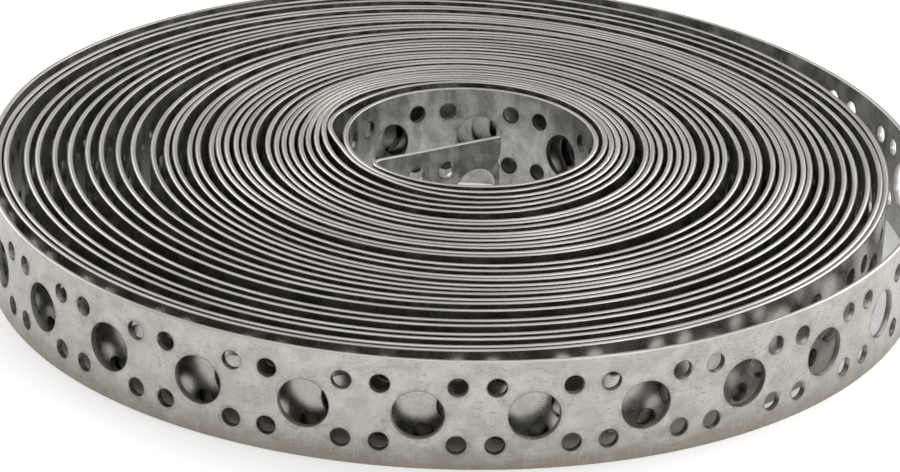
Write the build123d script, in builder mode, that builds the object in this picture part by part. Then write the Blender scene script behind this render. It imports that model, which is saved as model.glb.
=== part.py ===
"""A loose coil of perforated steel fixing band, lying flat on the edge of its strip.

One strip is wound counterclockwise from a folded inner tail, turn on turn, to a loose outer turn
that springs clear of the pack. Its middle line is a chain of tangent arcs: at each junction the
radius grows by a step and the centre moves back by the same step, so no turn can cut another.
"""

import os
from math import ceil, cos, degrees, radians, sin, sqrt

from build123d import *

# The strip
strip_width = 20.0
strip_thickness = 1.0

# The punched pattern: one large hole in each pitch, with two columns of two small holes midway
hole_pitch = 19.2
large_hole_diameter = 8.8
small_hole_diameter = 3.4
small_hole_spacing = 6.4
small_hole_rise = 10.7
front_hole_offset = -4.1
punch_clearance = 0.1

# The holes that are cut, at the front of the loose outer turn
large_hole_count = 7
small_hole_group_count = 3

# The folded inner tail, which crosses the bore
tail_length = 25.5
tail_fold_radius = 2.0
tail_angle = 120
fold_angle = 222

# The wound pack
bore_diameter = 45.2
turn_gap = 0.2

# Each turn from the bore outwards: the side where it lies tight against the turn inside it, and
# how far its centre shifts away from there, as a share of the strip's thickness
RIGHT, BACK, LEFT, FRONT = 0, 90, 180, 270
turn_slack_shares = (
    (BACK, 0.3), (BACK, 0.5), (BACK, 0.5), (BACK, 0.6), (BACK, 0.5), (BACK, 1.0),
    (BACK, 0.1), (BACK, 0.5), (BACK, 0.5), (BACK, 0.4), (RIGHT, 0.5), (FRONT, 0.3),
    (BACK, 0.8), (FRONT, 0.4), (BACK, 0.9), (LEFT, 0.6), (BACK, 0.8), (FRONT, 0.1),
    (BACK, 0.7), (RIGHT, 0.4), (RIGHT, 0.6), (RIGHT, 1.1), (RIGHT, 0.6), (RIGHT, 1.1),
    (BACK, 1.2), (RIGHT, 0.9), (BACK, 1.2), (RIGHT, 0.7), (LEFT, 0.9), (RIGHT, 1.2),
    (FRONT, 1.5),
)

# The loose outer turn: the angles where its curve changes on the way round, and the step of its
# radius there, as a share of how far it springs clear of the pack
loose_turn_spring = 7.0
loose_turn_step_shares = ((100, 0.3), (180, -0.3), (235, 1.06), (315, -0.6), (375, 0.6))
free_end_angle = 455

QUARTER_TURN, FULL_TURN = 90, 360
half_thickness = strip_thickness / 2
turn_step = (strip_thickness + turn_gap) / 4
wound_angle = len(turn_slack_shares) * FULL_TURN


def direction(angle):
    """Point outwards at an angle, counted counterclockwise from the right."""
    return Vector(cos(radians(angle)), sin(radians(angle)))


def winding_steps():
    """List each junction's angle, running on from turn to turn, with its step of the radius."""
    steps = []
    for turn, (tight_side, share) in enumerate(turn_slack_shares):
        for side in (FRONT, RIGHT + FULL_TURN, BACK + FULL_TURN, LEFT + FULL_TURN):
            slack = share * strip_thickness if side % FULL_TURN == tight_side else 0
            steps.append((side + turn * FULL_TURN, turn_step + slack))
    steps.pop()
    for angle, share in loose_turn_step_shares:
        steps.append((angle + wound_angle, share * loose_turn_spring))
    return steps


def wind(bore_centre):
    """Follow the strip's middle line: the centre, radius, start and end angle of each arc."""
    radius = bore_diameter / 2 + half_thickness
    fold_centre = bore_centre + direction(fold_angle) * (radius - tail_fold_radius)
    arcs = [(fold_centre, tail_fold_radius, tail_angle, fold_angle)]
    centre = bore_centre
    start = fold_angle
    for angle, step in winding_steps():
        arcs.append((centre, radius, start, angle))
        centre = centre - direction(angle) * step
        radius += step
        start = angle
    arcs.append((centre, radius, start, free_end_angle + wound_angle))
    return arcs


def reach(arcs, side):
    """Measure how far the strip's outer face reaches towards one side."""
    return max(
        centre.dot(direction(side)) + radius + half_thickness
        for centre, radius, start, end in arcs
        if (side - start) % FULL_TURN <= end - start
    )


# The bore is set off centre, so that the middle of the whole coil is the origin
arcs = wind(Vector(0, 0))
off_centre_x = (reach(arcs, RIGHT) - reach(arcs, LEFT)) / 2
off_centre_y = (reach(arcs, BACK) - reach(arcs, FRONT)) / 2
arcs = wind(Vector(-off_centre_x, -off_centre_y))


def distance_to(angle):
    """Measure along the strip from its fold to the spot that faces an angle."""
    return sum(
        radius * radians(min(angle, end) - start)
        for centre, radius, start, end in arcs
        if start < angle
    )


def spot_at(distance):
    """Find the spot at a distance along the strip: its middle point, facing angle and radius."""
    for centre, radius, start, end in arcs:
        angle = start + degrees(distance / radius)
        if angle <= end:
            return centre + direction(angle) * radius, angle, radius
        distance -= radius * radians(end - start)
    raise ValueError("The strip is not that long")


def hole_columns():
    """List the columns of holes that are cut: distance along the strip, diameter and heights."""
    front_large = distance_to(FRONT + wound_angle) + front_hole_offset
    columns = []
    for index in range(-(large_hole_count // 2), ceil(large_hole_count / 2)):
        columns.append((front_large + index * hole_pitch, large_hole_diameter, (0,)))
    pair = (-small_hole_rise / 2, small_hole_rise / 2)
    for group in range(-(small_hole_group_count // 2), ceil(small_hole_group_count / 2)):
        middle = front_large + (group + 1 / 2) * hole_pitch
        columns.append((middle - small_hole_spacing / 2, small_hole_diameter, pair))
        columns.append((middle + small_hole_spacing / 2, small_hole_diameter, pair))
    return columns


# The two faces of the strip follow its middle line, half a thickness to each side
tail_root = arcs[0][0] + direction(tail_angle) * tail_fold_radius
tail_end = tail_root + direction(tail_angle - QUARTER_TURN) * tail_length
tail_offset = direction(tail_angle) * half_thickness
end_centre, end_radius, end_start, end_angle = arcs[-1]
free_end = end_centre + direction(end_angle) * end_radius
free_offset = direction(end_angle) * half_thickness
face_arcs = [
    CenterArc(centre, radius + side * half_thickness, start, end - start)
    for centre, radius, start, end in arcs
    for side in (-1, 1)
]

with BuildPart() as band:
    with BuildSketch():
        with BuildLine():
            add(face_arcs)
            Line(tail_root - tail_offset, tail_end - tail_offset)
            Line(tail_end - tail_offset, tail_end + tail_offset)
            Line(tail_end + tail_offset, tail_root + tail_offset)
            Line(free_end - free_offset, free_end + free_offset)
        make_face()
    extrude(amount=strip_width)
    deepest_sag = 0
    for distance, diameter, heights in hole_columns():
        point, angle, radius = spot_at(distance)
        deepest_sag = max(deepest_sag, radius - sqrt(radius**2 - (diameter / 2) ** 2))
        outside = point + direction(angle) * (half_thickness + punch_clearance)
        facing = Plane(
            outside + Vector(0, 0, strip_width / 2),
            x_dir=direction(angle + QUARTER_TURN),
            z_dir=direction(angle),
        )
        with BuildSketch(facing):
            with Locations(*[(0, height) for height in heights]):
                Circle(diameter / 2)
    extrude(amount=-(strip_thickness + deepest_sag + 2 * punch_clearance), mode=Mode.SUBTRACT)

band.part.label = "perforated_band"

os.makedirs("parts", exist_ok=True)
export_step(band.part, "parts/perforated_band.step")
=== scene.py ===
# %% [markdown]
# # A loose coil of perforated fixing band
# The object is one long strip of galvanised steel, punched with large and small holes and wound
# into a flat coil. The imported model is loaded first, as the frame that everything else fits. Its
# box is kept, because the dressed coil has to stay inside it.

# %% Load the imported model
from math import ceil, cos, pi, radians, sin

import bpy
import numpy as np
from mathutils import Matrix, Vector
from mathutils.geometry import delaunay_2d_cdt


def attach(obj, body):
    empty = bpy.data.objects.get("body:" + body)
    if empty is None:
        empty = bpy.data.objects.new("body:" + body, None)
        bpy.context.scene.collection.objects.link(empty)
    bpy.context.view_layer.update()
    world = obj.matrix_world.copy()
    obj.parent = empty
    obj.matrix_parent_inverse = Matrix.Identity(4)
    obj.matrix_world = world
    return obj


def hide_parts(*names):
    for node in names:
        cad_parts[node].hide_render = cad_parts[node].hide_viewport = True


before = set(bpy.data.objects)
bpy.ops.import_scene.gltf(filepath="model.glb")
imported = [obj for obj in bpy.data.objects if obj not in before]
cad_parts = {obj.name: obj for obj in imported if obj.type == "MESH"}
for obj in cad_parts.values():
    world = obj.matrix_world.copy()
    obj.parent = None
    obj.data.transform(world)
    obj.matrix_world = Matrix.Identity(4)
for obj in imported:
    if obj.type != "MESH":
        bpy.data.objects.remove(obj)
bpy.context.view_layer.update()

# %% [markdown]
# ## The winding
# A real coil is never an even spiral: its turns touch here, stand off there, and sag between. So
# the line is set as a winder would check it, by how far each turn reaches from the middle of the
# coil at the front, right, back and left, in millimetres. A smooth line runs through these
# readings, and no turn may come closer to the turn inside it than the thickness of the strip. The
# outer turn has sprung loose, and the second and third turns have a kink at the left, so these get
# readings of their own, each with its angle. Angles run on from turn to turn, counterclockwise.

# %% Set the reach of each turn
MM = 0.001
strip_width = 20.0
strip_thickness = 1.0
winding_centre = np.array([0.13, 3.93])
FRONT, RIGHT, BACK, LEFT = 270, 360, 450, 540
FULL_TURN = 360

fold_reading = (221.7, 19.94)
turn_readings = (
    (20.8, 25.8, 25.5, 21.3), (23.2, 27.5, 28.9, 23.5), (25.4, 28.8, 30.0, 25.3),
    (27.8, 30.0, 31.2, 26.8), (30.0, 31.4, 32.3, 28.3), (32.3, 32.7, 33.5, 29.6),
    (35.8, 35.2, 34.8, 31.3), (37.1, 36.4, 36.2, 32.7), (39.0, 37.9, 37.3, 34.0),
    (41.3, 39.7, 39.2, 35.7), (42.4, 41.3, 40.3, 38.3), (44.0, 42.8, 42.0, 40.1),
    (45.8, 44.1, 43.1, 41.6), (47.0, 46.6, 44.6, 43.3), (49.2, 48.4, 46.4, 44.9),
    (50.4, 49.9, 48.0, 46.0), (54.1, 52.8, 49.4, 48.5), (56.2, 55.1, 51.0, 49.9),
    (58.6, 56.2, 52.9, 52.8), (59.8, 58.7, 54.2, 54.2), (62.0, 60.3, 55.7, 56.7),
    (63.7, 61.5, 58.2, 60.5), (65.4, 62.6, 59.4, 63.2), (67.7, 64.3, 61.7, 66.4),
    (69.2, 65.5, 62.9, 68.8), (71.9, 67.5, 64.0, 71.8), (75.7, 69.3, 65.4, 74.6),
    (77.6, 71.6, 68.2, 77.7), (80.8, 73.4, 69.4, 79.7), (82.6, 75.9, 72.5, 83.4),
    (85.3, 78.2, 75.0, 84.8), (86.7, 79.4),
)
loose_readings = (
    (90, 79.0), (132, 82.4), (153, 84.7), (165, 85.9), (180, 86.6), (205, 89.2), (225, 90.7),
    (250, 91.0), (270, 90.6), (300, 89.8), (330, 88.4), (360, 86.25), (390, 83.9), (420, 82.7),
    (455, 82.7),
)
kink_readings = (
    (485 + FULL_TURN, 26.9), (505 + FULL_TURN, 25.9), (520 + FULL_TURN, 25.6),
    (530 + FULL_TURN, 24.8), (520 + 2 * FULL_TURN, 26.9), (530 + 2 * FULL_TURN, 26.0),
)
wound_angle = FULL_TURN * len(turn_readings)

readings = [fold_reading, *kink_readings]
for turn, reaches in enumerate(turn_readings):
    for side, reach in zip((FRONT, RIGHT, BACK, LEFT), reaches):
        readings.append((side + FULL_TURN * turn, reach))
readings += [(angle + wound_angle, reach) for angle, reach in loose_readings]
readings.sort()
print(len(turn_readings), "turns and a loose one,", len(readings), "readings")

# %% [markdown]
# The line through the readings is a cubic spline, which bends as evenly as a springy strip does.
# Its pieces share their slope and their bend at each reading, and solving for all the bends at once
# is one line of linear algebra. The line is then sampled every half degree.

# %% Run a smooth line through the readings
samples_per_turn = 720
least_pitch = 1.05


def spline(knots, values, places):
    """Read a natural cubic spline through the knots at many places."""
    span = np.diff(knots)
    slope = np.diff(values) / span
    balance = np.eye(len(knots))
    pull = np.zeros(len(knots))
    for index in range(1, len(knots) - 1):
        before, after = span[index - 1], span[index]
        balance[index, index - 1:index + 2] = before, 2 * (before + after), after
        pull[index] = 6 * (slope[index] - slope[index - 1])
    bend = np.linalg.solve(balance, pull)
    piece = np.clip(np.searchsorted(knots, places, side="right") - 1, 0, len(span) - 1)
    width, ahead = span[piece], knots[piece + 1] - places
    behind = places - knots[piece]
    level = values[piece] * ahead / width + values[piece + 1] * behind / width
    return (level + bend[piece] * (ahead**3 / width - ahead * width) / 6
            + bend[piece + 1] * (behind**3 / width - behind * width) / 6)


knots, values = np.array(readings).T
winding_angles = np.arange(knots[0], knots[-1], FULL_TURN / samples_per_turn)
winding_reach = spline(knots, values, winding_angles)
for index in range(samples_per_turn, len(winding_reach)):
    inside_turn = winding_reach[index - samples_per_turn] + least_pitch * strip_thickness
    winding_reach[index] = max(winding_reach[index], inside_turn)
pitch = winding_reach[samples_per_turn:] - winding_reach[:-samples_per_turn]
print(f"pitch of the turns from {pitch.min():.2f} to {pitch.max():.2f} mm")

# %% [markdown]
# The strip begins with a tail that was bent back sharply to hold it while winding. It is a straight
# piece and a small arc, set on the start of the line. With them the whole middle line is one chain
# of points, and a place on the strip is given by its distance from the fold. The helper also
# gives the way that the strip faces there, so that holes, walls and normals can all be laid out on
# the flat strip and bent afterwards.

# %% Add the folded tail and find any place on the strip
tail_length = 25.5
tail_fold_radius = 2.0
tail_angle = 120
fold_samples = 60


def direction(angle):
    """Point outwards at an angle in degrees, counted counterclockwise from the right."""
    return np.stack([np.cos(np.radians(angle)), np.sin(np.radians(angle))], axis=-1)


winding_points = winding_centre + direction(winding_angles) * winding_reach[:, None]
heading = np.gradient(winding_points, axis=0)
winding_facing = np.degrees(np.unwrap(np.arctan2(heading[:, 1], heading[:, 0]))) - 90
winding_facing += FULL_TURN * round((winding_angles[0] - winding_facing[0]) / FULL_TURN)
fold_facing = np.linspace(tail_angle, winding_facing[0], fold_samples)
fold_centre = winding_points[0] - direction(winding_facing[0]) * tail_fold_radius
fold_points = fold_centre + direction(fold_facing) * tail_fold_radius
tail_end = fold_points[0] + direction(tail_angle - 90) * tail_length

line_points = np.concatenate([[tail_end], fold_points, winding_points[1:]])
line_facing = np.concatenate([[tail_angle], fold_facing, winding_facing[1:]])
line_distance = np.linalg.norm(np.diff(line_points, axis=0), axis=1).cumsum() - tail_length
line_distance = np.concatenate([[-tail_length], line_distance])
strip_end = line_distance[-1]


def place_on_strip(distance):
    """Give the middle point and the outward direction at distances along the strip."""
    point = [np.interp(distance, line_distance, line_points[:, axis]) for axis in range(2)]
    return np.stack(point, axis=-1), direction(np.interp(distance, line_distance, line_facing))


def distance_at(angle):
    """Measure along the strip from its fold to an angle of the winding."""
    return float(np.interp(angle, winding_angles, line_distance[len(fold_facing):]))


print(f"strip of {(strip_end + tail_length) / 1000:.2f} m")

# %% [markdown]
# ## The punched pattern
# The press punches one large hole in each pitch, with two columns of two small holes between it
# and the next. A boolean cut of some 2,700 holes would be slow and leave poor faces. So one pitch
# is laid out flat as a cell, its face is triangulated once around its holes, and the cell is then
# repeated along the strip. Turns that show get round holes, and turns hidden in the pack get holes
# with fewer sides.

# %% Lay out one pitch of the strip
large_hole_radius = 4.4
small_hole_radius = 1.7
small_hole_spacing = 6.4
small_hole_rise = 10.7
front_hole_angle = 266.7
bore_hole_angle = 441.1
nominal_pitch = 19.2

first_large = distance_at(bore_hole_angle)
last_large = distance_at(front_hole_angle + wound_angle)
pitch_count = round((last_large - first_large) / nominal_pitch)
hole_pitch = (last_large - first_large) / pitch_count
half_pitch = hole_pitch / 2
edge_drop = 0.1
outer_rounding = 0.14
inner_rounding = 0.1
outer_tilt = 0.9
inner_tilt = 0.75
half_width = strip_width / 2
half_thickness = strip_thickness / 2
print(f"pitch {hole_pitch:.4f} mm, {pitch_count} pitches from the bore to the front")


def cell_holes(large_sides, small_sides):
    """List a cell's holes, with the large one at its middle: x, y, radius and sides."""
    holes = [(0, 0, large_hole_radius, large_sides)]
    for x in (-small_hole_spacing, small_hole_spacing):
        for y in (-small_hole_rise / 2, small_hole_rise / 2):
            holes.append((x, y, small_hole_radius, small_sides))
    return holes


def hole_outline(hole):
    """Lay out a hole's corners counterclockwise."""
    x, y, radius, sides = hole
    turn = (np.arange(sides) + 0.5) * 2 * pi / sides
    return np.stack([x + radius * np.cos(turn), y + radius * np.sin(turn)], axis=1)


def cut_edge(x, holes, inward):
    """Lay out a cut across the strip from bottom to top, with a bite where it meets a hole."""
    points = [(x, half_width - edge_drop)]
    points.insert(0, (x, -points[0][1]))
    bites = sorted((hole for hole in holes if abs(hole[0] - x) < hole[2]), key=lambda hole: hole[1])
    for hole_x, hole_y, radius, sides in bites:
        offset = (x - hole_x) * inward
        opening = np.arccos(offset / radius)
        steps = max(3, ceil(sides * opening / pi))
        for turn in np.linspace(-opening, opening, steps + 1):
            bite_x = hole_x + inward * radius * np.cos(turn)
            points.insert(-1, (bite_x, hole_y + radius * np.sin(turn)))
    return np.array(points)


# %% [markdown]
# The flat face of a cell is a rectangle with holes. Blender's constrained triangulation fills it
# from its outlines, and the triangles that fall in a hole are dropped. Cells share the same points
# on their joints, whatever the number of sides of their holes, so that the strip closes up into
# one watertight mesh.

# %% Triangulate the flat face of a cell
JOINT_HEIGHTS = (-1 / 3, 1 / 3)


def inside(points, outline):
    """Tell which points lie in a closed outline, by counting the sides to the right of each."""
    first = outline
    second = np.roll(outline, -1, axis=0)
    x, y = points[:, :1], points[:, 1:]
    spans = (first[:, 1] > y) != (second[:, 1] > y)
    rise = np.where(second[:, 1] == first[:, 1], 1, second[:, 1] - first[:, 1])
    meets = first[:, 0] + (y - first[:, 1]) * (second[:, 0] - first[:, 0]) / rise
    return np.sum(spans & (x < meets), axis=1) % 2 == 1


def flat_cell(x_min, x_max, large_sides, small_sides, columns, cut_start=False, cut_end=False):
    """Triangulate a cell between two distances from its large hole."""
    holes = cell_holes(large_sides, small_sides)
    top = half_width - edge_drop
    xs = np.linspace(x_min, x_max, columns + 1)
    joint = (-top, *(share * top for share in JOINT_HEIGHTS), top)
    start = cut_edge(x_min, holes, 1) if cut_start else np.array([(x_min, y) for y in joint])
    end = cut_edge(x_max, holes, -1) if cut_end else np.array([(x_max, y) for y in joint])
    bottom = np.stack([xs[1:-1], np.full(columns - 1, -top)], axis=1)
    upper = np.stack([xs[1:-1], np.full(columns - 1, top)], axis=1)
    outline = np.concatenate([bottom, end, upper[::-1], start[::-1]])
    whole = [hole for hole in holes if x_min < hole[0] - hole[2] and hole[0] + hole[2] < x_max]
    loops = [outline] + [hole_outline(hole) for hole in whole]
    points = np.concatenate(loops)
    edges = []
    offset = 0
    for loop in loops:
        indexes = np.arange(len(loop)) + offset
        edges += list(zip(indexes.tolist(), np.roll(indexes, -1).tolist()))
        offset += len(loop)
    made = delaunay_2d_cdt([Vector(point) for point in points], edges, [], 0, 1e-6)
    triangles = np.array(made[2])
    middles = points[triangles].mean(axis=1)
    keep = inside(middles, outline)
    for loop in loops[1:]:
        keep &= ~inside(middles, loop)
    triangles = triangles[keep]
    a, b, c = (points[triangles[:, corner]] for corner in range(3))
    turned = np.cross(b - a, c - a) < 0
    triangles[turned] = triangles[turned][:, ::-1]
    counts = [len(loop) for loop in loops]
    return {"points": points, "triangles": triangles, "counts": counts, "holes": whole,
            "xs": xs, "start": start if cut_start else None, "end": end if cut_end else None}


sample_cell = flat_cell(-half_pitch, half_pitch, 12, 6, 6)
print("plain cell:", len(sample_cell["triangles"]), "triangles on each face")

# %% [markdown]
# ## The strip as a mesh
# A cell becomes solid with an outer and an inner face, walls in its holes, and rounded edges above
# and below, as a slitting line leaves them. Every corner carries its own normal, worked out from
# the bend of the strip. That keeps the faces smooth, the slit edges crowned and the rims of the
# holes crisp, though the mesh has few faces.

# %% Make a cell solid


class StripMesh:
    """Collect faces given on the flat strip: distance along, height and depth of each corner."""

    def __init__(self):
        self.corners = []
        self.normals = []
        self.materials = []

    def add(self, corners, normals, material):
        """Take triangles or quads: corners and normals as (faces, corners, 3) arrays."""
        if corners.shape[1] == 4:
            self.add(corners[:, [0, 1, 2]], normals[:, [0, 1, 2]], material)
            self.add(corners[:, [0, 2, 3]], normals[:, [0, 2, 3]], material)
            return
        self.corners.append(corners)
        self.normals.append(normals)
        self.materials.append(np.full(len(corners), material))


OUTER, INNER, EDGE, RIM = range(4)


def wall(strip, outline, inward_normals, closed, material, depth):
    """Stand a wall through the strip along an outline, facing the outline's own normals."""
    following = np.roll(np.arange(len(outline)), -1)
    order = np.arange(len(outline) if closed else len(outline) - 1)
    a, b = outline[order], outline[following[order]]
    na, nb = inward_normals[order], inward_normals[following[order]]

    def at(points, w):
        return np.concatenate([points, np.full((len(points), 1), w)], axis=1)

    def facing(normals):
        return np.concatenate([normals, np.zeros((len(normals), 1))], axis=1)

    corners = np.stack([at(a, -depth), at(a, depth), at(b, depth), at(b, -depth)], axis=1)
    strip.add(corners, np.stack([facing(na), facing(na), facing(nb), facing(nb)], axis=1), material)


def solid_cell(cell):
    """Give a flat cell its two faces, hole walls and rounded edges."""
    strip = StripMesh()
    points = cell["points"]
    for side, material in ((-1, INNER), (1, OUTER)):
        flat = points[cell["triangles"][:, ::side]]
        depth = np.full((*flat.shape[:2], 1), side * half_thickness)
        corners = np.concatenate([flat, depth], axis=2)
        strip.add(corners, np.broadcast_to([0.0, 0.0, side], corners.shape), material)
    offset = cell["counts"][0]
    for hole, count in zip(cell["holes"], cell["counts"][1:]):
        outline = points[offset:offset + count]
        offset += count
        wall(strip, outline, (np.array(hole[:2]) - outline) / hole[2], True, RIM, half_thickness)
    for name, outward in (("start", -1), ("end", 1)):
        if cell[name] is not None:
            outline = cell[name] if outward < 0 else cell[name][::-1]
            normals = np.broadcast_to([outward, 0], outline.shape).astype(float)
            wall(strip, outline, normals, False, RIM, half_thickness)
    xs = cell["xs"]
    for up in (-1, 1):
        outer_normal = (0, up * cos(outer_tilt), sin(outer_tilt))
        inner_normal = (0, up * cos(inner_tilt), -sin(inner_tilt))
        rows = [
            (half_width - edge_drop, half_thickness, (0, 0, 1)),
            (half_width, half_thickness - outer_rounding, outer_normal),
            (half_width, inner_rounding - half_thickness, inner_normal),
            (half_width - edge_drop, -half_thickness, (0, 0, -1)),
        ]
        for (y0, w0, n0), (y1, w1, n1) in zip(rows, rows[1:]):
            row0 = np.stack([xs, np.full(len(xs), up * y0), np.full(len(xs), w0)], axis=1)
            row1 = np.stack([xs, np.full(len(xs), up * y1), np.full(len(xs), w1)], axis=1)
            quads = np.stack([row0[:-1], row0[1:], row1[1:], row1[:-1]], axis=1)
            normals = np.broadcast_to(np.array([n0, n0, n1, n1], float), quads.shape)
            if up < 0:
                quads, normals = quads[:, ::-1], normals[:, ::-1]
            strip.add(quads, normals, EDGE)
        for end, outward in (("start", -1), ("end", 1)):
            if cell[end] is not None:
                x = xs[0] if outward < 0 else xs[-1]
                ring = np.array([(x, up * y, w) for y, w, normal in rows])[None]
                facing = np.broadcast_to([float(outward), 0, 0], ring.shape)
                strip.add(ring if up * outward < 0 else ring[:, ::-1], facing, RIM)
    return strip


print("solid plain cell:", sum(len(part) for part in solid_cell(sample_cell).corners), "triangles")

# %% [markdown]
# Now the cells are repeated from the cut end of the tail to the free end at the back. The first
# cell is cut through a column of small holes, as the shears left it, and the cell on the fold gets
# many columns, because it bends round a radius of only two millimetres.

# %% Repeat the cell along the strip


def detail_at(distance):
    """Choose the sides of large and small holes, and the columns, for a cell."""
    if abs(distance) < hole_pitch:
        return 32, 16, 48
    if distance < distance_at(LEFT + FULL_TURN):
        return 32, 16, 12
    if distance > distance_at(LEFT - FULL_TURN + wound_angle):
        return 48, 24, 12
    if distance > distance_at(LEFT - 3 * FULL_TURN + wound_angle):
        return 24, 12, 8
    return 12, 6, 6


first_index = -ceil((first_large + tail_length - half_pitch) / hole_pitch)
last_index = pitch_count + ceil((strip_end - last_large - half_pitch) / hole_pitch)
flat_corners, flat_normals, materials = [], [], []
templates = {}
for index in range(first_index, last_index + 1):
    middle = first_large + index * hole_pitch
    start = max(-half_pitch, -tail_length - middle)
    end = min(half_pitch, strip_end - middle)
    cut_start, cut_end = index == first_index, index == last_index
    key = (start, end, *detail_at(middle), cut_start, cut_end)
    if cut_start or cut_end or key[2:] not in templates:
        template = solid_cell(flat_cell(*key))
        if cut_start or cut_end:
            chosen = template
        else:
            chosen = templates[key[2:]] = template
    else:
        chosen = templates[key[2:]]
    flat_corners += [part + [middle, 0, 0] for part in chosen.corners]
    flat_normals += chosen.normals
    materials += chosen.materials
flat_corners = np.concatenate(flat_corners)
flat_normals = np.concatenate(flat_normals)
materials = np.concatenate(materials)
print(f"{last_index - first_index + 1} cells, {len(flat_corners)} triangles")

# %% [markdown]
# The flat strip is bent in one go: each corner is put on the outward line of its place on the
# winding. Corners that meet are then joined, and the flat places are kept as a texture map, in
# metres along and across the strip, so that scratches and marks follow the strip round its turns.

# %% Bend the strip and write the mesh


def bend(corners, normals):
    """Carry flat corners and their normals onto the winding."""
    point, outward = place_on_strip(corners[:, 0])
    along = np.stack([-outward[:, 1], outward[:, 0]], axis=1)
    flat = point + outward * corners[:, 2:]
    bent = np.column_stack([flat, corners[:, 1] + half_width])
    facing = outward * normals[:, 2:] + along * normals[:, :1]
    return bent, np.column_stack([facing, normals[:, 1]])


def write_band():
    """Join the bent corners into one mesh with its own normals, map and materials."""
    corners = flat_corners.reshape(-1, 3)
    bent, normals = bend(corners, flat_normals.reshape(-1, 3))
    keys, first, members = np.unique(
        np.round(bent, 4), axis=0, return_index=True, return_inverse=True
    )
    faces = members.reshape(-1, 3)
    mesh = bpy.data.meshes.new("perforated_band")
    mesh.from_pydata((bent[first] * MM).tolist(), [], faces.tolist())
    mesh.polygons.foreach_set("material_index", materials.astype(np.int32))
    strip_map = mesh.uv_layers.new(name="strip")
    strip_map.data.foreach_set("uv", (corners[:, :2] * MM).astype(np.float32).ravel())
    depth = mesh.attributes.new("depth", "FLOAT", "CORNER")
    depth.data.foreach_set("value", (corners[:, 2] / half_thickness).astype(np.float32))
    mesh.update()
    lengths = np.linalg.norm(normals, axis=1, keepdims=True)
    mesh.normals_split_custom_set((normals / lengths).tolist())
    return mesh


band_mesh = write_band()
band = bpy.data.objects.new("punched_band", band_mesh)
bpy.context.collection.objects.link(band)
print(len(band_mesh.vertices), "points,", len(band_mesh.polygons), "faces")

# %% [markdown]
# ## Working with nodes
# Every finish below is a net of shader nodes. A small helper adds a node, sets its options and
# fills its inputs, from a plain value or from another node's output, so that each net reads like a
# recipe. All patterns are laid out on the flat strip: the map gives metres along and across it,
# and a pattern is told how many millimetres long and wide its features are.

# %% Start a node net


def node(tree, kind, inputs=(), **options):
    """Add a node with its options, and set or link its inputs."""
    made = tree.nodes.new("ShaderNode" + kind)
    for option, value in options.items():
        setattr(made, option, value)
    for key, value in dict(inputs).items():
        if isinstance(value, bpy.types.NodeSocket):
            tree.links.new(value, made.inputs[key])
        else:
            made.inputs[key].default_value = value
    return made


def math(tree, operation, first, second=0.0):
    """Work out one number from two."""
    return node(tree, "Math", {0: first, 1: second}, operation=operation).outputs[0]


def ramp(tree, value, low, high, start=0.0, end=1.0):
    """Turn a range of values smoothly into another."""
    inputs = {"Value": value, "From Min": low, "From Max": high, "To Min": start, "To Max": end}
    return node(tree, "MapRange", inputs, interpolation_type="SMOOTHSTEP").outputs[0]


def blend_colours(tree, share, first, second):
    """Go from one colour to another."""
    made = node(tree, "Mix", {0: share}, data_type="RGBA")
    for socket, colour in ((made.inputs[6], first), (made.inputs[7], second)):
        if isinstance(colour, bpy.types.NodeSocket):
            tree.links.new(colour, socket)
        else:
            socket.default_value = (*colour, 1)
    return made.outputs[2]


def stretched(tree, place, length, width):
    """Scale the strip's map so that one unit is a feature of this length and width."""
    scale = (1 / (length * MM), 1 / (width * MM), 1)
    return node(tree, "VectorMath", {0: place, 1: scale}, operation="MULTIPLY").outputs[0]


def noise(tree, place, length, width, detail=2.0, roughness=0.5):
    """Lay a soft random pattern on the strip, with features of a length and a width."""
    inputs = {"Vector": stretched(tree, place, length, width), "Scale": 1.0,
              "Detail": detail, "Roughness": roughness}
    return node(tree, "TexNoise", inputs, noise_dimensions="2D").outputs[0]


def new_group(name, inputs, outputs):
    """Start a shader node group with named sockets."""
    group = bpy.data.node_groups.new(name, "ShaderNodeTree")
    for label, kind in inputs:
        group.interface.new_socket(label, in_out="INPUT", socket_type="NodeSocket" + kind)
    for label in outputs:
        group.interface.new_socket(label, in_out="OUTPUT", socket_type="NodeSocketFloat")
    entry, leaving = group.nodes.new("NodeGroupInput"), group.nodes.new("NodeGroupOutput")
    return group, entry.outputs, leaving.inputs


# %% [markdown]
# ## Zinc
# Hot-dip zinc freezes into crystals a few millimetres across, the spangle, which weather into soft
# lighter and darker clouds. A painted picture would show its seams along ten metres of strip, so
# the clouds are noise. The outer and the inner face both use them, each with its own colours.

# %% Build the zinc clouds
clouds_group, group_in, group_out = new_group(
    "zinc_clouds", [("Place", "Vector")], ["Clouds", "Spangle", "Streaks", "Grain", "Waves"])
clouds_place = group_in["Place"]
drift = noise(clouds_group, clouds_place, 9, 7, 3.0)
drifted = node(clouds_group, "VectorMath", {0: drift, 1: (0.004, 0.004, 0), 2: clouds_place},
               operation="MULTIPLY_ADD").outputs[0]
patches = noise(clouds_group, drifted, 5, 4, 5.0, 0.62)
crystals = node(clouds_group, "TexVoronoi", {
    "Vector": stretched(clouds_group, drifted, 2.6, 2.2), "Scale": 1.0}, voronoi_dimensions="2D")
crystal_tone = node(clouds_group, "SeparateColor", {0: crystals.outputs["Color"]}).outputs[0]
for output, value in (
    ("Clouds", ramp(clouds_group, patches, 0.36, 0.66)),
    ("Spangle", crystal_tone),
    ("Streaks", ramp(clouds_group, noise(clouds_group, drifted, 2.4, 13, 3.0, 0.6), 0.36, 0.64)),
    ("Grain", noise(clouds_group, clouds_place, 0.35, 0.25, 3.0)),
    ("Waves", noise(clouds_group, clouds_place, 4.5, 3.0, 1.0)),
):
    clouds_group.links.new(value, group_out[output])
print("zinc clouds:", len(clouds_group.nodes), "nodes")

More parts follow.
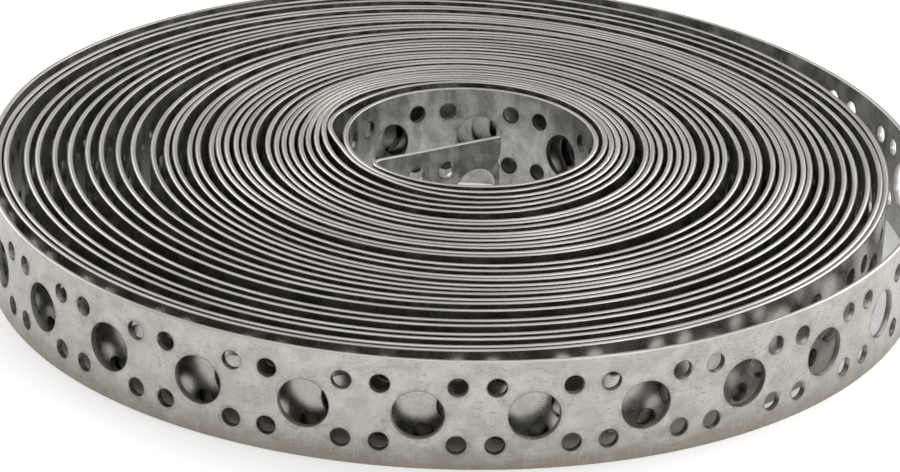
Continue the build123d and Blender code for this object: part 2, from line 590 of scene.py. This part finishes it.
# %% [markdown]
# ## Handling marks
# A strip that is pulled through a press and wound by hand picks up brownish flecks, fine scratches,
# and a film where its lower edge stood on the bench. The film's darkening of the lower edge is also
# painted shade, standing in for the floor's contact shadow that the band mirrors there. Round each
# hole a thin dark ring is painted shade of the rim that the punch rolled in, where it pressed the
# zinc in, and grime lies in a patchy halo round it. The marks follow the strip, so they are drawn
# from the same map, and the distance to the nearest hole is worked out from the punched pattern,
# which repeats each pitch.

# %% Build the handling marks
marks_group, group_in, group_out = new_group(
    "handling_marks", [("Place", "Vector")], ["Flecks", "Scratches", "Film_and_shade", "Rim_shade_and_grime"])
marks_place = group_in["Place"]
place_parts = node(marks_group, "SeparateXYZ", {0: marks_place}).outputs
height = place_parts["Y"]
crowding = ramp(marks_group, noise(marks_group, marks_place, 11, 5, 3.0, 0.6),
                0.40, 0.62, 0.12, 1.0)
lying = ramp(marks_group, noise(marks_group, marks_place, 1.4, 0.32, 3.0, 0.6), 0.60, 0.72)
standing = ramp(marks_group, noise(marks_group, marks_place, 0.3, 1.0, 3.0, 0.6), 0.63, 0.74)
flecks = math(marks_group, "MULTIPLY", math(marks_group, "MAXIMUM", lying, standing), crowding)
across = ramp(marks_group, noise(marks_group, marks_place, 0.35, 9.0, 2.0), 0.62, 0.7)
along = ramp(marks_group, noise(marks_group, marks_place, 16.0, 0.22, 2.0), 0.62, 0.72)
low_band = ramp(marks_group, height, -0.009, 0.002, 1.0, 0.2)
scratches = math(marks_group, "MAXIMUM", math(marks_group, "MULTIPLY", across, low_band),
                 math(marks_group, "MULTIPLY", along, 0.6))
# The film darkens the face towards its lower edge: a brownish film, and painted shade for the
# mirrored contact shadow.
film_and_shade_edge = math(marks_group, "ADD", height, math(
    marks_group, "MULTIPLY", noise(marks_group, marks_place, 5.0, 3.0, 4.0, 0.65), 0.008))
film_and_shade = ramp(marks_group, film_and_shade_edge, -0.0065, 0.0005, 1.0, 0.0)
print("marks without the grime:", len(marks_group.nodes), "nodes")

# %% [markdown]
# Round each hole, a thin dark ring is painted shade of the rim that the punch rolled in, and grime
# lies in a patchy halo outside it. The marks take the place along the strip, wrapped to one pitch,
# and the height. These two are made positive, because the pattern is the same on its four sides.
# Then the distances to the middle of the large hole and of one small hole are enough.

# %% Add the painted rim shade and the grime round the holes
wrapped = node(marks_group, "Math", {
    0: place_parts["X"], 1: (first_large + half_pitch) * MM, 2: (first_large - half_pitch) * MM,
}, operation="WRAP").outputs[0]
from_large = math(marks_group, "ABSOLUTE", math(marks_group, "SUBTRACT", wrapped, first_large * MM))
from_middle = math(marks_group, "ABSOLUTE", height)
spot = node(marks_group, "CombineXYZ", {"X": from_large, "Y": from_middle}).outputs[0]
gaps = []
for middle, radius in (
    ((0, 0, 0), large_hole_radius),
    ((small_hole_spacing * MM, small_hole_rise / 2 * MM, 0), small_hole_radius),
):
    away = node(marks_group, "VectorMath", {0: spot, 1: middle}, operation="DISTANCE")
    gaps.append(math(marks_group, "SUBTRACT", away.outputs["Value"], radius * MM))
rim_gap = math(marks_group, "MINIMUM", *gaps)
halo = math(marks_group, "MULTIPLY", ramp(marks_group, rim_gap, 0.0, 0.0012, 0.5, 0.0),
            ramp(marks_group, noise(marks_group, marks_place, 1.5, 1.5, 3.0), 0.4, 0.65))
# The thin dark ring at the edge of each hole is painted shade of the rolled rim; the wider patchy
# halo is grime.
rim_shade_and_grime = math(marks_group, "MAXIMUM", ramp(marks_group, rim_gap, 0.00006, 0.00024, 1.0, 0.0), halo)
for output, value in (("Flecks", flecks), ("Scratches", scratches), ("Film_and_shade", film_and_shade), ("Rim_shade_and_grime", rim_shade_and_grime)):
    marks_group.links.new(value, group_out[output])
print("handling marks:", len(marks_group.nodes), "nodes")

# %% [markdown]
# ## The two faces
# The outer face is the bright side, a warm satin grey. The inner face is duller and greener, with
# stronger clouds. Both are metal, so the base colour is what they mirror, and a slight waviness
# from the bump breaks up the mirror images that show through the large holes.

# %% Finish the two faces


def new_metal(name, roughness):
    """Start a metal, with its constant values on the shader's own sockets."""
    material = bpy.data.materials.new(name)
    material.use_nodes = True
    shader = material.node_tree.nodes["Principled BSDF"]
    shader.inputs["Metallic"].default_value = 1
    shader.inputs["Roughness"].default_value = roughness
    band_mesh.materials.append(material)
    return material.node_tree, shader.inputs


def place_group(tree, group, place):
    """Put a shared effect into a material."""
    made = node(tree, "Group", node_tree=group)
    tree.links.new(place, made.inputs["Place"])
    return made.outputs


relief_depth = 0.03 * MM


def zinc_face(name, start, tones, film_and_shade_tone, shares, rough):
    """Finish one face of the strip from its dark and light zinc and the shares of its patterns."""
    tree, shader = new_metal(name, rough[0])
    strip_map = node(tree, "UVMap", uv_map="strip").outputs[0]
    place = node(tree, "VectorMath", {0: strip_map, 1: (start * hole_pitch * MM, 0, 0)}).outputs[0]
    zinc = place_group(tree, clouds_group, place)
    marks = place_group(tree, marks_group, place)
    tone = math(tree, "MULTIPLY", zinc["Spangle"], shares["Spangle"])
    for pattern in ("Clouds", "Streaks"):
        tone = math(tree, "ADD", tone, math(tree, "MULTIPLY", zinc[pattern], shares[pattern]))
    tone = math(tree, "ADD", tone, ramp(tree, zinc["Grain"], 0.3, 0.7, -0.12, 0.12))
    colour = blend_colours(tree, tone, *tones)
    # The film also paints shade along the lower edge, and the rim mark paints a dark ring of shade
    # round each hole.
    for mark, spoilt in (
        ("Film_and_shade", film_and_shade_tone),
        ("Scratches", tones[1]),
        ("Flecks", tuple(0.55 * value for value in film_and_shade_tone)),
        ("Rim_shade_and_grime", tuple(0.3 * value for value in tones[0])),
    ):
        strength = math(tree, "MULTIPLY", marks[mark], shares[mark])
        colour = blend_colours(tree, strength, colour, spoilt)
    tree.links.new(colour, shader["Base Color"])
    rubbed = math(tree, "ADD", ramp(tree, tone, 0.0, 1.0, rough[0], rough[1]),
                  math(tree, "MULTIPLY", marks["Film_and_shade"], 0.08))
    tree.links.new(rubbed, shader["Roughness"])
    relief = math(tree, "SUBTRACT", math(tree, "ADD", zinc["Waves"], math(
        tree, "MULTIPLY", zinc["Grain"], 0.06)), math(tree, "MULTIPLY", marks["Flecks"], 0.1))
    bump = node(tree, "Bump", {"Height": relief, "Strength": 1.0, "Distance": relief_depth})
    tree.links.new(bump.outputs[0], shader["Normal"])
    print(name, len(tree.nodes), "nodes")


# The outer face's high film share also paints the shade that its lower edge mirrors from the floor.
zinc_face("outer_zinc", 0, ((0.33, 0.315, 0.288), (0.47, 0.452, 0.418)), (0.22, 0.19, 0.15),
          {"Clouds": 0.6, "Streaks": 0.15, "Spangle": 0.25, "Film_and_shade": 0.7, "Scratches": 0.35,
           "Flecks": 0.6, "Rim_shade_and_grime": 0.7}, (0.24, 0.32))
zinc_face("inner_zinc", 193, ((0.26, 0.275, 0.265), (0.62, 0.62, 0.59)), (0.24, 0.235, 0.21),
          {"Clouds": 0.5, "Streaks": 0.4, "Spangle": 0.1, "Film_and_shade": 0.15, "Scratches": 0.35,
           "Flecks": 0.4, "Rim_shade_and_grime": 0.6}, (0.3, 0.42))

# %% [markdown]
# ## Slit edges and punched rims
# The slitting line and the punches cut through the zinc to bare steel. A cut has a bright part
# where the blade sheared and a duller part where the steel broke away. On the slit edges this
# change is also painted highlight and shade: the outer side is lighter and the inner side darker,
# as the rounded edge catches the light. The depth through the strip is stored on the mesh, so the
# colour can follow it, and fine streaks run along the cut.

# %% Finish the cut edges


def cut_metal(name, sheared_and_lit, broken_and_shaded, split, streaks, roughness):
    """Finish a cut from its sheared side to its broken side; on slit edges this also paints light
    and shade.
    """
    tree, shader = new_metal(name, roughness)
    depth = node(tree, "Attribute", attribute_name="depth").outputs["Fac"]
    place = node(tree, "UVMap", uv_map="strip").outputs[0]
    streak = math(tree, "SUBTRACT", noise(tree, place, *streaks, 3.0), 0.5)
    ragged = math(tree, "MULTIPLY", streak, 0.9)
    share = ramp(tree, math(tree, "ADD", depth, ragged), split[0], split[1])
    colour = blend_colours(tree, share, broken_and_shaded, sheared_and_lit)
    # The brightness that swells and fades along the strip is painted light and shade, in place of
    # turns at slightly different heights.
    edge_light_and_shade = ramp(tree, noise(tree, place, 45.0, 90.0, 3.0, 0.6), 0.3, 0.7, 0.78, 1.08)
    bright = node(tree, "VectorMath", {0: colour, "Scale": edge_light_and_shade}, operation="SCALE").outputs[0]
    tree.links.new(bright, shader["Base Color"])
    dull = ramp(tree, share, 0.0, 1.0, roughness + 0.1, roughness)
    tree.links.new(dull, shader["Roughness"])
    print(name, len(tree.nodes), "nodes")


# On the slit edge, the lighter outer side and darker inner side are partly painted highlight and
# shade.
cut_metal("slit_edge", (0.62, 0.595, 0.56), (0.48, 0.455, 0.42), (-0.9, 0.5), (7.0, 0.5), 0.36)
cut_metal("punched_rim", (0.52, 0.50, 0.47), (0.30, 0.29, 0.27), (-0.2, 0.3), (0.4, 0.4), 0.32)

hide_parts("perforated_band")
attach(band, "root")

# %% [markdown]
# ## Camera
# A product photograph of a small thing is taken from some way off with a long lens, so that the
# near side doesn't swell. The camera stands about 0.6 m away, 25 degrees above the floor, and the
# frame is rolled by two degrees.

# %% Set the camera
camera_target = np.array([-0.88, -17.37, 10.0])
camera_distance = 597.0
camera_elevation = radians(25.08)
camera_roll = radians(-2.01)
focal_pixels = 3257
picture_width = 900

right = np.array([1, 0, 0])
up = np.array([0, sin(camera_elevation), cos(camera_elevation)])
backward = np.array([0, -cos(camera_elevation), sin(camera_elevation)])
camera_right = cos(camera_roll) * right - sin(camera_roll) * up
camera_up = sin(camera_roll) * right + cos(camera_roll) * up
camera_data = bpy.data.cameras.new("camera")
camera_data.sensor_fit = "HORIZONTAL"
camera_data.sensor_width = 36
camera_data.lens = focal_pixels * camera_data.sensor_width / picture_width
camera_data.clip_start = 0.01
camera = bpy.data.objects.new("camera", camera_data)
bpy.context.collection.objects.link(camera)
place = (camera_target + backward * camera_distance) * MM
camera.matrix_world = Matrix([
    [camera_right[row], camera_up[row], backward[row], place[row]] for row in range(3)
] + [[0, 0, 0, 1]])
bpy.context.scene.camera = camera
print("lens", round(camera_data.lens, 1), "mm")

# %% [markdown]
# ## Floor
# The coil stands on a white sheet. Plain white paper under soft light comes out light grey, so the
# paper also glows a little, with one strength for what the camera sees directly and one for what
# the metal mirrors. The light on it is real, so that it keeps the shadow of the coil.

# %% Lay the white floor
floor_size = 8
floor_colour = (0.86, 0.86, 0.86, 1)
floor_glow = 0.3
mirrored_glow = 0.36

bpy.ops.mesh.primitive_plane_add(size=floor_size)
floor = bpy.context.object
floor.name = "floor"
floor_material = bpy.data.materials.new("white_floor")
floor_material.use_nodes = True
floor_tree = floor_material.node_tree
floor_tree.nodes.clear()
light_path = node(floor_tree, "LightPath").outputs
mirrored = math(floor_tree, "MAXIMUM", light_path["Is Glossy Ray"],
                light_path["Is Transmission Ray"])
glow_strength = math(floor_tree, "ADD",
                     math(floor_tree, "MULTIPLY", light_path["Is Camera Ray"], floor_glow),
                     math(floor_tree, "MULTIPLY", mirrored, mirrored_glow))
glow = node(floor_tree, "Emission", {"Strength": glow_strength})
paper = node(floor_tree, "BsdfDiffuse", {"Color": floor_colour})
both = node(floor_tree, "AddShader", {0: paper.outputs[0], 1: glow.outputs[0]})
node(floor_tree, "OutputMaterial", {"Surface": both.outputs[0]})
floor.data.materials.append(floor_material)
print("floor of", floor.dimensions.x, "m")

# %% [markdown]
# ## Light
# A wide softbox overhead gives soft light without hard glints. Two smaller ones stand behind the
# coil at the right and the left. Each slit edge mirrors one of them where it faces half way between
# the lamp and the camera, which gives the bright fans beside the bore. A small one brightens the
# floor at the right, which the front of the band mirrors. The grey world fills the rest.

# %% Light the studio
world_strength = 0.5

world = bpy.data.worlds.new("studio")
bpy.context.scene.world = world
world.use_nodes = True
sky = world.node_tree.nodes["Background"].inputs
sky["Color"].default_value = (1, 1, 1, 1)
sky["Strength"].default_value = world_strength


def softbox(name, place, size, power):
    """Hang a square lamp that faces the coil."""
    data = bpy.data.lights.new(name, "AREA")
    data.size = size
    data.energy = power
    lamp = bpy.data.objects.new(name, data)
    bpy.context.collection.objects.link(lamp)
    lamp.location = place
    lamp.rotation_euler = Vector(place).to_track_quat("Z", "Y").to_euler()
    return lamp


softbox("top_softbox", (0.0, 0.2, 1.3), 2.0, 9)
softbox("right_softbox", (0.85, 0.55, 0.6), 0.8, 6)
softbox("left_softbox", (-0.8, 0.7, 0.6), 0.8, 3.6)
softbox("floor_softbox", (0.6, -0.5, 0.4), 0.5, 1.6)

# %% [markdown]
# ## Finish
# The view transform is set to Standard.

# %% Finish
bpy.context.scene.view_settings.view_transform = "Standard"
